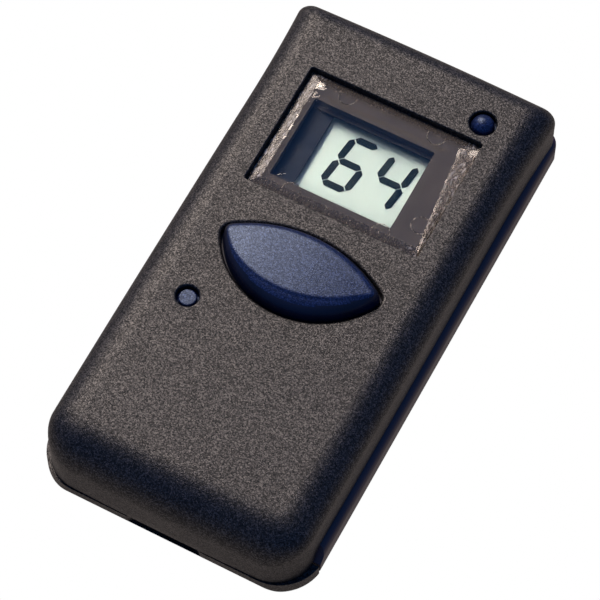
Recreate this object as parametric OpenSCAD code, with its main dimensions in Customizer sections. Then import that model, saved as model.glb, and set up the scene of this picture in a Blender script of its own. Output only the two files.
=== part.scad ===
// Pocket game timer with a two-digit display, lying on its back.
// Millimetres, +Z up out of the face, +Y towards the display end.
// Origin: middle of the rest face.

/* [Case] */
// Width of the front shell
body_w = 50; // [46:0.5:60]
// Length from end to end
body_l = 100.4; // [96:0.2:120]
// Height of the face above the rest face
face_z = 17; // [17:0.5:22]
// Width over the shoulders of the back shell
base_w = 52.8; // [51:0.2:64]
// Wall thickness of the shells
wall = 1.6; // [1.2:0.1:2]
// Radius round the edge of the face
face_r = 4.6; // [3:0.2:6]
// Radius of the two corners at the battery end, seen from above
low_corner_r = 7; // [6:0.5:12]
// Radius of the two corners at the display end, seen from above
top_corner_r = 2.5; // [2:0.5:6]
// Height of the seam along the long sides
seam_z = 6; // [5:0.2:8]
// Height of the seam round the battery end
end_seam_z = 3.2; // [3:0.2:4]
// Gap left at every seam
seam_gap = 0.2; // [0.1:0.05:0.4]

/* [Window] */
// Width of the window pocket
window_w = 34; // [30:0.5:38]
// Length of the window pocket
window_l = 25.6; // [22:0.2:28]
// Distance of the window's middle from the case's middle
window_y = 23.6; // [22:0.2:26]
// Depth of the lens pocket below the face
pocket_d = 1.5; // [1.5:0.1:1.8]
// Width of the ledge the lens sits on
ledge = 2.5; // [1.5:0.1:3]
// Width of the display that shows
view_w = 19.3; // [16:0.1:20]
// Length of the display that shows
view_l = 15.8; // [12:0.1:16]
// Dark border that the mask leaves open beside the display
border_w = 4.5; // [1:0.1:4.5]

/* [Digits] */
// Height of a digit
digit_h = 11.6; // [8:0.2:13]
// Width of a digit
digit_w = 6; // [4:0.2:7]
// Width of one bar
bar_w = 1.3; // [0.8:0.1:1.8]
// Distance between the two digits
digit_pitch = 7.9; // [7:0.1:10]
// Lean of the digits, in degrees
digit_lean = 7; // [0:1:12]

/* [Buttons] */
// Radius of the upper edge of the lens-shaped opening
key_upper_r = 26.4; // [22:0.2:30]
// Radius of the lower edge of the lens-shaped opening
key_lower_r = 17.2; // [15:0.2:22]
// Distance of the upper edge from the case's middle
key_top_y = 6.1; // [4:0.1:7]
// Distance of the lower edge from the case's middle
key_low_y = -10.2; // [-12:0.1:-8]
// Radius of the two tips of the opening
key_tip_r = 2.2; // [1.8:0.1:3]
// Gap all round the large button
key_gap = 0.8; // [0.3:0.05:0.9]
// Height of the large button above the face
key_rise = 3; // [1:0.2:4]
// Travel of the large button
key_travel = 0.9; // [0.4:0.1:1]
// Diameter of the small recessed button's hole
reset_hole_d = 4.1; // [3:0.1:5]
// Diameter of the small recessed button
reset_d = 3.3; // [2:0.1:4]
// Diameter of the domed button's hole
mode_hole_d = 4.9; // [4:0.1:5]
// Diameter of the domed button
mode_d = 4.2; // [3:0.1:4.4]
// Height of the domed button above the face
mode_rise = 0.9; // [0.4:0.1:1.5]

/* [Power] */
// Diameter of a cell
cell_d = 10.5; // [10:0.1:10.5]
// Length of a cell
cell_l = 44.5; // [44:0.1:44.6]
// Width of the finger notch in the door's rim
notch_w = 14.5; // [10:0.5:18]
// Depth of the finger notch
notch_d = 2.2; // [1.5:0.1:3]

/* [Hidden] */

$fn = 64;
eps = 0.01;
far = 200;

// Heights, from the rest face up
back_t = 1.6;
face_in_z = face_z - wall;
lens_floor_z = face_z - pocket_d;
lens_top_z = face_z - 0.6;
ledge_z = lens_floor_z - 1.55;
mask_t = 0.6;
mask_z = ledge_z - mask_t;
view_dy = -0.8;
film_dy = -0.5;
glass_dy = -0.2;
frame_top_z = mask_z;
glass_top_z = frame_top_z - 0.35;
glass_t = 0.7;
cell_gap_t = 0.15;
bars_z = glass_top_z - glass_t - cell_gap_t;
rear_glass_t = 0.65;
reflector_t = 0.2;
board_t = 1.2;
board_z = face_in_z - 5.4;
board_top_z = board_z + board_t;
flange_z = face_in_z - 1;
flange_t = 0.8;
dome_top_z = board_top_z + key_travel + 0.5;
small_dome_top_z = board_top_z + 1.1;

// Plan sizes
half_w = body_w / 2;
half_l = body_l / 2;
inner_half_w = half_w - wall;
door_side_y = -42.8;
door_top_y = -21.9;
door_half_w = 22.5;
arm_half_w = door_half_w + 0.3;
seam_rise_y = door_side_y + 2.2;
seam_drop_y = door_side_y - 0.4;

// Board, and the pegs that hold the display frame on it
board_w = 42;
board_l = 67;
board_y = 12.6;
peg_x = 13;
peg_dy = 8;
peg_d = 1.4;

// Sounder
sounder_y = 10;
sounder_d = 20;
sounder_z = back_t + 1.4;
sounder_t = 0.25;

// Buttons
reset_x = -14.5;
reset_y = -14.3;
mode_x = 15.1;
mode_y = 40.2;

// Battery bay
cell_z = back_t + 1.1 + cell_d / 2;
cell_low_y = -39.4;
cell_high_y = -28.7;
bay_wall_y = -22.9;
plate_t = 0.4;
plate_x = inner_half_w - 0.05 - plate_t;
plate_top_z = cell_z + 3.8;
strap_z = plate_top_z + 0.25;
tail_w = 1;

// Screws
case_screw_x = 20.3;
case_screw_high_y = 45.2;
case_screw_low_y = -18.4;
boss_d = 5;
post_d = 6;
board_boss_d = 4;

shell_colour = [0.27, 0.25, 0.24];
back_colour = [0.2, 0.17, 0.2];
key_colour = [0.22, 0.23, 0.42];
clear_colour = [0.85, 0.9, 0.92, 0.35];
dark_colour = [0.2, 0.2, 0.2];
lcd_colour = [0.7, 0.8, 0.76];
bar_colour = [0.12, 0.16, 0.15];
board_colour = [0.1, 0.35, 0.2];
steel_colour = [0.72, 0.72, 0.74];
brass_colour = [0.8, 0.65, 0.3];

// The part of a square corner that lies outside a round of radius r
module corner_waste(r) {
    difference() {
        square([r + 1, r + 1]);
        circle(r);
    }
}

// Rectangle seen from above, with its own radius at each end's corners
module plan(w, l, r_low, r_top) {
    difference() {
        square([w, l], center = true);
        for (s = [-1, 1]) {
            translate([s * (w / 2 - r_top), l / 2 - r_top])
                rotate(s > 0 ? 0 : 90)
                    corner_waste(r_top);
            translate([s * (w / 2 - r_low), -l / 2 + r_low])
                rotate(s > 0 ? -90 : 180)
                    corner_waste(r_low);
        }
    }
}

// Waste cut off the corner where the face's rounding turns with the plan's corner
module corner_turn(plan_r, h, r) {
    rotate_extrude(angle = 90)
        translate([plan_r - r, h - r])
            corner_waste(r);
}

// Solid case shape: rounded face edge, large battery-end corners
module case_block(w, l, z0, z1, r, r_low, r_top) {
    h = z1 - z0;
    translate([0, 0, z0])
        difference() {
            linear_extrude(h)
                plan(w, l, r_low, r_top);
            // Rounding along both long sides
            for (s = [-1, 1])
                translate([s * (w / 2 - r), -l / 2 + r_low, h - r])
                    mirror([s > 0 ? 0 : 1, 0, 0])
                        translate([0, l - r_low + 1, 0])
                            rotate([90, 0, 0])
                                linear_extrude(l - r_low + 1)
                                    corner_waste(r);
            // Rounding at the display end
            translate([-w / 2 - 1, l / 2 - r, h - r])
                rotate([90, 0, 90])
                    linear_extrude(w + 2)
                        corner_waste(r);
            // Rounding at the battery end, between the corners
            translate([w / 2 - r_low, -l / 2 + r, h - r])
                rotate([90, 0, -90])
                    linear_extrude(w - 2 * r_low)
                        corner_waste(r);
            for (s = [-1, 1])
                translate([s * (w / 2 - r_low), -l / 2 + r_low, 0])
                    rotate(s > 0 ? -90 : 180)
                        corner_turn(r_low, h, r);
        }
}

// Everything below the front shell's lower edge
module below_seam() {
    rotate([90, 0, 90])
        linear_extrude(far, center = true)
            polygon([[-far, -far], [far, -far], [far, seam_z], [seam_rise_y, seam_z],
                [seam_drop_y, end_seam_z], [-far, end_seam_z]]);
}

// Lens-shaped outline of the large button and its opening, taken in by inset
key_upper_y = key_top_y - key_upper_r;
key_lower_y = key_low_y + key_lower_r;
tip_a = key_upper_r - key_tip_r;
tip_b = key_lower_r - key_tip_r;
tip_span = key_lower_y - key_upper_y;
tip_up = (tip_a * tip_a - tip_b * tip_b + tip_span * tip_span) / (2 * tip_span);
tip_x = sqrt(tip_a * tip_a - tip_up * tip_up);
tip_y = key_upper_y + tip_up;

function tangent_point(cy, r, grow) =
    [tip_x * r / (r - grow), cy + (tip_y - cy) * r / (r - grow)];

module key_outline(inset) {
    ra = key_upper_r - inset;
    rb = key_lower_r - inset;
    rt = key_tip_r - inset;
    ta = tangent_point(key_upper_y, ra, rt);
    tb = tangent_point(key_lower_y, rb, rt);
    intersection() {
        translate([0, key_upper_y])
            circle(ra);
        translate([0, key_lower_y])
            circle(rb);
        polygon([ta, tb, [tb[0], -far], [-tb[0], -far], [-tb[0], tb[1]], [-ta[0], ta[1]],
            [-ta[0], far], [ta[0], far]]);
    }
    for (s = [-1, 1])
        translate([s * tip_x, tip_y])
            circle(rt);
}

// Turned disc with a rounded top edge, base on zero
module turned_disc(r, h, edge) {
    rotate_extrude() {
        square([r - edge, h]);
        square([r, h - edge]);
        translate([r - edge, h - edge])
            intersection() {
                circle(edge);
                square(edge + 1);
            }
    }
}

// Waste round the rounded upper edge of a large disc
module ring_waste(r, h, edge) {
    rotate_extrude($fn = 128)
        translate([r - edge, h - edge])
            corner_waste(edge);
}

// Large button body with a rounded upper edge and eased tips
module key_cap(inset, z0, z1, edge) {
    h = z1 - z0;
    translate([0, 0, z0])
        difference() {
            linear_extrude(h)
                key_outline(inset, $fn = 128);
            translate([0, key_upper_y, 0])
                ring_waste(key_upper_r - inset, h, edge);
            translate([0, key_lower_y, 0])
                ring_waste(key_lower_r - inset, h, edge);
            for (s = [-1, 1])
                translate([s * (tip_x + key_tip_r - inset - 0.9), tip_y, h])
                    rotate([0, s * 42, 0])
                        translate([0, 0, 2])
                            cube([8, 12, 4], center = true);
        }
}

module at_case_screws() {
    for (sx = [-1, 1], y = [case_screw_high_y, case_screw_low_y])
        translate([sx * case_screw_x, y, 0])
            children();
}

module at_board_screws() {
    for (s = [-1, 1]) {
        translate([s * 20.2, 8.6, 0])
            children();
        translate([s * 8, -17.6, 0])
            children();
    }
}

// Two pins keep the large button square in its opening
module at_key_pins() {
    for (s = [-1, 1])
        translate([s * 10.8, tip_y - 2, 0])
            children();
}

module front_shell() {
    color(shell_colour)
        difference() {
            union() {
                difference() {
                    case_block(body_w, body_l, 0, face_z, face_r, low_corner_r, top_corner_r);
                    case_block(body_w - 2 * wall, body_l - 2 * wall, -5, face_in_z,
                        face_r - wall, low_corner_r - wall, top_corner_r - wall);
                }
                // Frame behind the window
                translate([-18.6, window_y - window_l / 2 - 1.4, ledge_z])
                    cube([37.2, window_l + 2.4, face_in_z - ledge_z + eps]);
                // Screw bosses
                at_case_screws()
                    translate([0, 0, seam_z + 0.2])
                        cylinder(h = face_in_z - seam_z - 0.1, d = boss_d);
                at_board_screws()
                    translate([0, 0, board_top_z])
                        cylinder(h = face_in_z - board_top_z + eps, d = board_boss_d);
                // Wall between the battery bay and the electronics
                translate([-22.6, bay_wall_y, 4])
                    cube([45.2, 1, face_in_z - 4 + eps]);
                // Cradle ribs over the cells
                for (x = [-14, 0, 14])
                    translate([x - 0.6, -45.6, cell_z])
                        cube([1.2, 45.6 + bay_wall_y + 0.5, face_in_z - cell_z + eps]);
            }
            below_seam();
            for (y = [cell_low_y, cell_high_y])
                translate([0, y, cell_z])
                    rotate([0, 90, 0])
                        cylinder(h = 2 * inner_half_w - 0.2, d = cell_d + 0.4, center = true);
            // Lens pocket and the opening in its floor
            translate([-window_w / 2, window_y - window_l / 2, lens_floor_z])
                cube([window_w, window_l, far]);
            translate([-window_w / 2 + ledge, window_y - window_l / 2 + ledge, ledge_z - 1])
                cube([window_w - 2 * ledge, window_l - 2 * ledge, 20]);
            // Button openings
            translate([0, 0, face_in_z - 1])
                linear_extrude(10)
                    key_outline(0, $fn = 128);
            translate([reset_x, reset_y, face_in_z - 1]) {
                cylinder(h = 10, d = reset_hole_d);
                translate([0, 0, wall + 0.75])
                    cylinder(h = 1, d1 = reset_hole_d - 0.4, d2 = reset_hole_d + 1.6);
            }
            translate([mode_x, mode_y, face_in_z - 1])
                cylinder(h = 10, d = mode_hole_d);
            // Pilot holes
            at_case_screws()
                cylinder(h = 13.4, d = 2);
            at_board_screws()
                cylinder(h = board_top_z + 3.2, d = 1.6);
        }
}

// Section of the back shell across its width, with shoulders and rounded heel
module back_section() {
    sh = 1.6;
    heel = 1.4;
    h = seam_z - seam_gap;
    difference() {
        translate([-base_w / 2, 0])
            square([base_w, h]);
        for (s = [-1, 1]) {
            translate([s * (base_w / 2 - sh), h - sh])
                rotate(s > 0 ? 0 : 90)
                    corner_waste(sh);
            translate([s * (base_w / 2 - heel), heel])
                rotate(s > 0 ? -90 : 180)
                    corner_waste(heel);
        }
    }
}

// Back shell seen from the side: rounded at the display end, sloped at the door
module back_side() {
    heel = 1.4;
    drop_z = end_seam_z + 0.1;
    difference() {
        polygon([[door_side_y, 0], [half_l, 0], [half_l, seam_z],
            [seam_rise_y + 0.3, seam_z], [door_side_y, drop_z]]);
        translate([half_l - heel, heel])
            rotate(-90)
                corner_waste(heel);
    }
}

module back_shell() {
    color(back_colour)
        difference() {
            union() {
                difference() {
                    intersection() {
                        rotate([90, 0, 0])
                            linear_extrude(body_l, center = true)
                                back_section();
                        linear_extrude(seam_z)
                            plan(base_w, body_l, 1, 2.5);
                        rotate([90, 0, 90])
                            linear_extrude(far, center = true)
                                back_side();
                    }
                    // Inside
                    translate([0, 0, back_t])
                        linear_extrude(far)
                            plan(inner_half_w * 2, body_l - 2 * wall, 0.5, 2.4);
                    // Opening for the battery door
                    translate([-arm_half_w, -far, -1])
                        cube([2 * arm_half_w, far + door_top_y + seam_gap, 20]);
                    translate([-inner_half_w, -far, 2.6])
                        cube([2 * inner_half_w, far + door_top_y + seam_gap, 20]);
                    // Grooves for the door's tongues
                    translate([-24, -far, 0.9])
                        cube([48, far + door_top_y + seam_gap, 1.2]);
                }
                // Tabs that reach up inside the front shell
                for (s = [-1, 1], y = [33, 17, -4])
                    translate([s * 22.7 - 0.5, y - 4, back_t - eps])
                        cube([1, 8, 6.4]);
                // Screw posts
                at_case_screws()
                    cylinder(h = seam_z, d = post_d);
                // Ring that carries the sounder
                translate([0, sounder_y, back_t - eps])
                    difference() {
                        cylinder(h = 2.6, d = sounder_d + 3);
                        translate([0, 0, sounder_z - back_t])
                            cylinder(h = 5, d = sounder_d + 0.4);
                        translate([0, 0, -1])
                            cylinder(h = 5, d = sounder_d - 1.6);
                    }
                // Stiffening ribs
                for (x = [-14, 14])
                    translate([x - 0.6, 25, back_t - eps])
                        cube([1.2, 18, 2]);
            }
            // Screw passages and head seats
            at_case_screws()
                translate([0, 0, -1])
                    cylinder(h = 20, d = 2.4);
            at_case_screws()
                translate([0, 0, -1])
                    cylinder(h = 4, d = 4.2);
            // Sound holes under the sounder
            for (p = [[0, 0], for (a = [0:60:300]) [4 * cos(a), 4 * sin(a)]])
                translate([p[0], sounder_y + p[1], -1])
                    cylinder(h = 4, d = 1.5);
        }
}

module battery_door() {
    rim_z = end_seam_z - seam_gap;
    rim_corner_r = low_corner_r + (base_w - body_w) / 2;
    rim_t = 1.8;
    notch_r = (notch_w * notch_w / 4 + notch_d * notch_d) / (2 * notch_d);
    lip_top_z = cell_z - cell_d / 2 - 0.25;
    color(shell_colour)
        difference() {
            union() {
                // Rim that wraps the battery end, flush with the back shell's shoulders
                intersection() {
                    translate([0, 0, 0.2])
                        difference() {
                            linear_extrude(rim_z - 0.2)
                                plan(base_w, body_l, rim_corner_r, 1);
                            translate([0, 0, 1.5])
                                linear_extrude(far)
                                    plan(base_w - 2 * rim_t, body_l - 2 * rim_t, rim_corner_r - rim_t, 1);
                        }
                    translate([-far / 2, -far + door_side_y - 0.3, 0])
                        cube([far, far, far]);
                    // Rounded lower edge at the end
                    rotate([90, 0, 90])
                        linear_extrude(far, center = true)
                            difference() {
                                translate([-half_l, 0])
                                    square([far, rim_z]);
                                translate([-half_l + 1.2, 1.4])
                                    rotate(180)
                                        corner_waste(1.2);
                            }
                }
                // Panel over the cells
                translate([-door_half_w, door_side_y - 2, 0.2])
                    cube([2 * door_half_w, door_top_y - door_side_y + 2, 1.5]);
                // Tongues that run in the grooves
                translate([-23.7, door_side_y + 0.3, 1.1])
                    cube([47.4, door_top_y - door_side_y - 1.3, 0.6]);
                // Lips that reach in over the back shell's edge
                for (x = [-10, 10]) {
                    translate([x - 3, door_top_y - 1.5, 1.7 - eps])
                        cube([6, 1.5, lip_top_z - 1.7]);
                    translate([x - 3, door_top_y - 1, back_t + 0.15])
                        cube([6, 2.5, lip_top_z - back_t - 0.15 - eps]);
                }
                // Backing behind the finger notch
                translate([-notch_w / 2 - 1.5, -half_l + 1.5, 0.2])
                    cube([notch_w + 3, notch_d, rim_z - 0.2]);
            }
            // Finger notch, with a floor left under it
            translate([0, -half_l - notch_r + notch_d, 0.9])
                cylinder(h = 10, r = notch_r, $fn = 128);
        }
}

module window_lens() {
    w = window_w - 0.4;
    l = window_l - 0.4;
    h = lens_top_z - lens_floor_z;
    bevel_w = 1;
    color(clear_colour)
        translate([0, window_y, lens_floor_z])
            difference() {
                translate([-w / 2, -l / 2, 0])
                    cube([w, l, h]);
                // Bevelled rim round the top
                for (s = [-1, 1]) {
                    translate([s * (w / 2 - bevel_w), 0, h])
                        rotate([0, s * 35, 0])
                            translate([0, 0, 1])
                                cube([4, l + 10, 2], center = true);
                    translate([0, s * (l / 2 - bevel_w), h])
                        rotate([-s * 35, 0, 0])
                            translate([0, 0, 1])
                                cube([w + 10, 4, 2], center = true);
                }
                // Shallow step on the underside over the display
                translate([-12, -10, -1])
                    cube([24, 20, 1.25]);
                // Moulding pin marks
                for (s = [-1, 1], t = [-1, 1])
                    translate([s * 8.8, t * 11.1, -1])
                        difference() {
                            cylinder(h = 1.08, d = 3.4);
                            translate([0, 0, -1])
                                cylinder(h = 4, d = 3);
                        }
            }
}

module display_mask() {
    color(dark_colour)
        translate([0, window_y, mask_z])
            linear_extrude(mask_t)
                difference() {
                    square([33.6, 26], center = true);
                    translate([-view_w / 2 - border_w, view_dy - view_l / 2])
                        square([view_w + border_w, view_l]);
                }
}

module display_frame() {
    left_x = -view_w / 2 - border_w - 0.5;
    right_x = 14;
    color([0.1, 0.1, 0.11])
        translate([0, window_y, board_top_z]) {
            difference() {
                translate([left_x, -12.4, 0])
                    cube([right_x - left_x, 24.8, frame_top_z - board_top_z]);
                translate([-12.15, -10.65, -1])
                    cube([24.3, 21.3, 1 + glass_top_z - board_top_z + 0.02]);
                // Opening for the film, short of the glass's left-hand edge
                translate([-view_w / 2, film_dy - 9, -1])
                    cube([view_w / 2 + 11, 18, 20]);
            }
            // Pegs through the board
            for (s = [-1, 1], t = [-1, 1])
                translate([s * peg_x, t * peg_dy, -board_t - 0.6])
                    cylinder(h = board_t + 0.7, d = peg_d);
        }
}

// Block centred on the window, from z0 up
module lcd_block(w, l, z0, h) {
    translate([-w / 2, window_y - l / 2, z0])
        cube([w, l, h]);
}

module lcd_polariser() {
    color([0.6, 0.66, 0.62, 0.4])
        translate([-view_w / 2 + 0.1, window_y + film_dy - 8.5, glass_top_z])
            cube([view_w / 2 + 10.4, 17, 0.2]);
}

module lcd_front_glass() {
    color([0.8, 0.88, 0.86, 0.35])
        lcd_block(24, 21, glass_top_z - glass_t, glass_t);
}

module lcd_rear_glass() {
    color([0.8, 0.88, 0.86, 0.35])
        translate([0, glass_dy, 0])
            lcd_block(24, 17.4, bars_z - rear_glass_t, rear_glass_t);
}

module lcd_reflector() {
    color(lcd_colour)
        translate([0, glass_dy, 0])
            lcd_block(22, 17, bars_z - rear_glass_t - reflector_t, reflector_t);
}

module lcd_seal() {
    color([0.55, 0.6, 0.58])
        translate([0, glass_dy, 0])
            difference() {
                lcd_block(23.4, 17.2, bars_z, cell_gap_t);
                lcd_block(21.8, 16, bars_z - 1, 3);
            }
}

// One bar with pointed ends, lying along X and centred
module bar(len) {
    h = bar_w / 2;
    polygon([[-len / 2, 0], [-len / 2 + h, h], [len / 2 - h, h], [len / 2, 0],
        [len / 2 - h, -h], [-len / 2 + h, -h]]);
}

// Seven-bar digit: on lists the lit bars, a to g
module digit(on) {
    dx = (digit_w - bar_w) / 2;
    dy = (digit_h - bar_w) / 2;
    gap = 0.3;
    len_h = digit_w - bar_w - gap;
    len_v = dy - gap;
    place = [[0, dy, 0], [dx, dy / 2, 90], [dx, -dy / 2, 90], [0, -dy, 0],
        [-dx, -dy / 2, 90], [-dx, dy / 2, 90], [0, 0, 0]];
    for (i = [0:6])
        if (on[i] == 1)
            translate([place[i][0], place[i][1]])
                rotate(place[i][2])
                    bar(place[i][2] == 0 ? len_h : len_v);
}

module lcd_bars() {
    lean = tan(digit_lean);
    color(bar_colour)
        for (d = [[-1, [1, 0, 1, 1, 1, 1, 1]], [1, [0, 1, 1, 0, 0, 1, 1]]])
            translate([1.05 + d[0] * digit_pitch / 2, window_y + 0.4, bars_z + 0.02])
                linear_extrude(cell_gap_t - 0.04)
                    multmatrix([[1, lean, 0, 0], [0, 1, 0, 0], [0, 0, 1, 0], [0, 0, 0, 1]])
                        digit(d[1]);
}

module contact_strips() {
    color([0.35, 0.35, 0.38])
        for (s = [-1, 1])
            translate([-11.4, window_y + s * 9.65 - 0.7, board_top_z])
                cube([22.8, 1.4, glass_top_z - glass_t - board_top_z]);
}

module circuit_board() {
    color(board_colour)
        translate([0, 0, board_z])
            linear_extrude(board_t)
                difference() {
                    translate([0, board_y])
                        square([board_w, board_l], center = true);
                    at_case_screws()
                        circle(d = post_d);
                    at_board_screws()
                        circle(d = 1.8);
                    at_key_pins()
                        circle(d = 2.4);
                    for (s = [-1, 1], t = [-1, 1])
                        translate([s * peg_x, window_y + t * peg_dy])
                            circle(d = peg_d + 0.2);
                }
}

module chip_cap() {
    color([0.06, 0.06, 0.06])
        translate([0, 27, board_z - 1.4])
            intersection() {
                cylinder(h = 1.4, d = 11);
                translate([0, 0, 11])
                    sphere(r = 11.4);
            }
}

module crystal() {
    color(steel_colour)
        translate([9, 36, board_z - 1.05])
            rotate([0, 90, 0])
                cylinder(h = 6.2, d = 2, $fn = 32);
}

module ceramic_capacitors() {
    color([0.72, 0.62, 0.45])
        for (p = [[10, 32.5], [10, 29.4], [-10, 36], [-6, 38.5], [8, 20.5]])
            translate([p[0] - 1, p[1] - 0.65, board_z - 1.1])
                cube([2, 1.3, 1.1]);
}

module storage_capacitor() {
    color([0.12, 0.14, 0.25])
        translate([-16.5, 25.5, board_z - 5.6])
            cylinder(h = 5.6, d = 5);
}

module resistors() {
    color([0.1, 0.1, 0.1])
        for (i = [0:5])
            translate([-9 + 3.4 * i, 41.2, board_z - 0.55])
                cube([1.3, 2, 0.55]);
}

module piezo_disc() {
    color(brass_colour)
        translate([0, sounder_y, sounder_z])
            cylinder(h = sounder_t, d = sounder_d);
}

module piezo_ceramic() {
    color([0.9, 0.88, 0.82])
        translate([0, sounder_y, sounder_z + sounder_t])
            cylinder(h = 0.2, d = 14);
}

module lead_wires() {
    color([0.6, 0.1, 0.1])
        for (p = [[4, sounder_z + sounder_t + 0.2], [8.5, sounder_z + sounder_t]])
            translate([p[0], sounder_y, p[1]])
                cylinder(h = board_z - p[1], d = 0.9, $fn = 24);
}

module main_button() {
    top_z = face_z + key_rise;
    color(key_colour) {
        difference() {
            key_cap(key_gap, flange_z, top_z, 1.5);
            // Hollowed from below
            translate([0, 0, flange_z - 1])
                linear_extrude(top_z - flange_z - 0.6)
                    key_outline(key_gap + 1.4, $fn = 128);
        }
        difference() {
            translate([0, 0, flange_z])
                linear_extrude(flange_t)
                    key_outline(-1.2, $fn = 128);
            translate([0, 0, flange_z - 1])
                linear_extrude(5)
                    key_outline(key_gap + 0.7, $fn = 128);
        }
        // Cross webs and centre post
        translate([-12.8, -2.6, flange_z])
            cube([25.6, 1.2, top_z - flange_z - 1]);
        translate([-0.6, -8.8, flange_z])
            cube([1.2, 13.5, top_z - flange_z - 1]);
        translate([0, -2, dome_top_z + 0.05])
            cylinder(h = top_z - dome_top_z - 1, d = 5);
        // Guide pins
        at_key_pins()
            translate([0, 0, board_z - 0.6])
                cylinder(h = top_z - board_z - 0.4, d = 1.8);
    }
}

module reset_button() {
    color(key_colour)
        translate([reset_x, reset_y, 0]) {
            translate([0, 0, flange_z])
                turned_disc(reset_d / 2, face_z - 0.6 - flange_z, 0.3);
            translate([0, 0, flange_z])
                cylinder(h = flange_t, d = 6);
            translate([0, 0, small_dome_top_z + 0.05])
                cylinder(h = flange_z - small_dome_top_z, d = 2.4);
        }
}

module mode_button() {
    dome_h = 1.7;
    dome_r = (mode_d * mode_d / 4 + dome_h * dome_h) / (2 * dome_h);
    color(key_colour)
        translate([mode_x, mode_y, 0]) {
            intersection() {
                translate([0, 0, flange_z])
                    cylinder(h = face_z + mode_rise - flange_z, d = mode_d);
                translate([0, 0, face_z + mode_rise - dome_r])
                    union() {
                        sphere(dome_r);
                        translate([0, 0, -20 + dome_r - dome_h])
                            cylinder(h = 20, d = mode_d);
                    }
            }
            intersection() {
                translate([0, 0, flange_z])
                    cylinder(h = flange_t, d = 7);
                translate([-5, 37.8 - mode_y, 0])
                    cube([10, 10, 30]);
            }
            translate([0, 0, small_dome_top_z + 0.05])
                cylinder(h = flange_z - small_dome_top_z, d = 2.4);
        }
}

// Rubber dome on the board
module dome(x, y, d, h) {
    color([0.75, 0.74, 0.7])
        translate([x, y, board_top_z])
            cylinder(h = h, d1 = d, d2 = d * 0.6);
}

module main_dome() {
    dome(0, -2, 7, dome_top_z - board_top_z);
}

module reset_dome() {
    dome(reset_x, reset_y, 4.4, small_dome_top_z - board_top_z);
}

module mode_dome() {
    dome(mode_x, mode_y, 4.4, small_dome_top_z - board_top_z);
}

// Puts a child built along +X at each cell; the low cell faces +X, the high one -X
module at_cells() {
    translate([0, cell_low_y, cell_z])
        children();
    translate([0, cell_high_y, cell_z])
        mirror([1, 0, 0])
            children();
}

module cell_cans() {
    color(steel_colour)
        at_cells()
            translate([-cell_l / 2, 0, 0])
                rotate([0, 90, 0]) {
                    cylinder(h = cell_l - 0.9, r = cell_d / 2 - 0.2);
                    cylinder(h = cell_l, d = 3.8);
                }
}

module cell_sleeves() {
    color([0.75, 0.45, 0.15])
        at_cells()
            translate([-cell_l / 2 + 0.2, 0, 0])
                rotate([0, 90, 0])
                    difference() {
                        cylinder(h = cell_l - 1.3, d = cell_d);
                        translate([0, 0, -1])
                            cylinder(h = cell_l + 2, r = cell_d / 2 - 0.2);
                    }
}

// Contact plate against the right-hand wall, centred on y0
module contact_plate(y0, l) {
    translate([plate_x, y0 - l / 2, plate_top_z - 7.8])
        cube([plate_t, l, 7.8]);
}

// Pressed pip that meets the cell's nub
module pip(y0) {
    translate([cell_l / 2, y0, cell_z])
        rotate([0, 90, 0])
            cylinder(h = plate_x - cell_l / 2 + eps, d1 = 2.4, d2 = 4);
}

// Flattened cone spring that meets the cell's base
module cone_spring(y0) {
    translate([cell_l / 2, y0, cell_z])
        rotate([0, 90, 0])
            difference() {
                cylinder(h = plate_x - cell_l / 2 + eps, d1 = 5, d2 = 7.2);
                translate([0, 0, -1])
                    cylinder(h = 5, d = 3.4);
            }
}

// Foot on the board at y1, reached from the plate's plane
module contact_foot(y1, z) {
    translate([board_w / 2 - 0.6, y1, z])
        cube([plate_x + plate_t - board_w / 2 + 0.6, tail_w, plate_t]);
}

module contact_plus() {
    foot_y = -12.6;
    color(steel_colour) {
        contact_plate(cell_low_y + 1, 6);
        pip(cell_low_y);
        // Strap along the wall above the other contact, down to the top of the board
        translate([plate_x, cell_low_y, plate_top_z - 1])
            cube([plate_t, 2, strap_z - plate_top_z + 1.8]);
        translate([plate_x, cell_low_y, strap_z])
            cube([plate_t, foot_y + tail_w - cell_low_y, 0.8]);
        translate([plate_x, foot_y, board_top_z])
            cube([plate_t, tail_w, strap_z - board_top_z + 0.1]);
        contact_foot(foot_y, board_top_z);
    }
}

module contact_minus() {
    foot_y = -14.9;
    color(steel_colour) {
        contact_plate(cell_high_y, 8);
        cone_spring(cell_high_y);
        // Tail along the wall to the underside of the board
        translate([plate_x, cell_high_y + 3, board_z - tail_w])
            cube([plate_t, foot_y + tail_w - cell_high_y - 3, tail_w]);
        contact_foot(foot_y, board_z - plate_t);
    }
}

module contact_bridge() {
    color(steel_colour)
        mirror([1, 0, 0]) {
            contact_plate((cell_low_y + cell_high_y) / 2 + 0.5, 17);
            pip(cell_high_y);
            cone_spring(cell_low_y);
        }
}

module case_screws() {
    color(steel_colour)
        at_case_screws() {
            difference() {
                translate([0, 0, 1.2])
                    turned_disc(1.9, 1.8, 0.3);
                translate([-1.2, -0.25, 1])
                    cube([2.4, 0.5, 1]);
                translate([-0.25, -1.2, 1])
                    cube([0.5, 2.4, 1]);
            }
            translate([0, 0, 2.5])
                cylinder(h = 10, d = 1.9, $fn = 32);
        }
}

module board_screws() {
    color(steel_colour)
        at_board_screws() {
            difference() {
                translate([0, 0, board_z - 1.1])
                    cylinder(h = 1.1, d = 3.2);
                translate([-1, -0.2, board_z - 1.3])
                    cube([2, 0.4, 0.8]);
            }
            translate([0, 0, board_z - 0.2])
                cylinder(h = 4.2, d = 1.5, $fn = 32);
        }
}

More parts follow.
